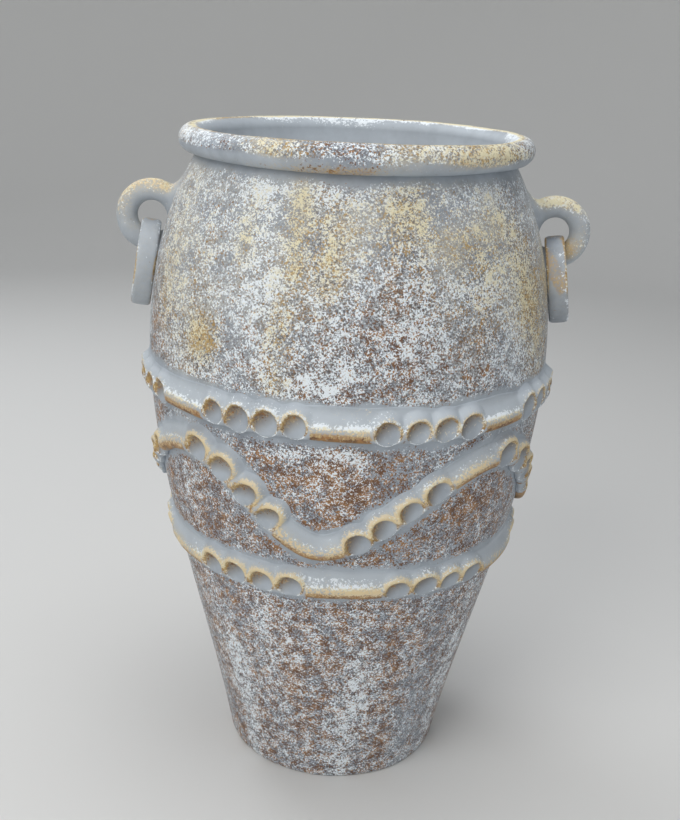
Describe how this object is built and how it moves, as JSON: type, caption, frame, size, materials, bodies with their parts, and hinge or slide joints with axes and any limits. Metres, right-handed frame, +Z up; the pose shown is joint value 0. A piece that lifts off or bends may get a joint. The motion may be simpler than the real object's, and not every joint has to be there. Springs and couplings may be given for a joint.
{
  "type": "storage jar",
  "caption": "Tall hand-built clay storage jar with a rolled rim, thumb-pressed straight and wavy bands, and looped lugs that each carry a loose hanging ring.",
  "frame": {"origin": "centre of the underside of the base, on the floor", "axes": "+Z up along the jar's axis, -Y to the front, +X and -X to the lugs"},
  "size_m": [0.427, 0.38, 0.6],
  "materials": {
    "wall_paint": "matt grey paint, sponged with white and rust brown",
    "rim_paint": "matt grey paint, sponged with cream, gold and brown",
    "band_paint": "matt grey paint, dry-brushed with cream and gold",
    "lug_paint": "matt grey paint, rubbed with gold and white",
    "ring_paint": "matt grey paint, worn to ochre on the edges"
  },
  "bodies": {
    "jar": {"base_disc": "wall_paint", "lower_wall": "wall_paint", "belly_wall": "wall_paint", "shoulder_wall": "wall_paint", "rim_roll": "rim_paint", "upper_band": "band_paint", "wave_band": "band_paint", "lower_band": "band_paint", "left_lug": "lug_paint", "right_lug": "lug_paint"},
    "left_ring": {"left_ring": "ring_paint"},
    "right_ring": {"right_ring": "ring_paint"}
  },
  "joints": [
    {"name": "left_ring_swing", "type": "hinge", "parent": "jar", "child": "left_ring", "pos_m": [-0.18101, 0, 0.517], "axis": [0, 1, 0], "range_deg": [0, 180]},
    {"name": "right_ring_swing", "type": "hinge", "parent": "jar", "child": "right_ring", "pos_m": [0.18101, 0, 0.517], "axis": [0, -1, 0], "range_deg": [0, 180]}
  ]
}
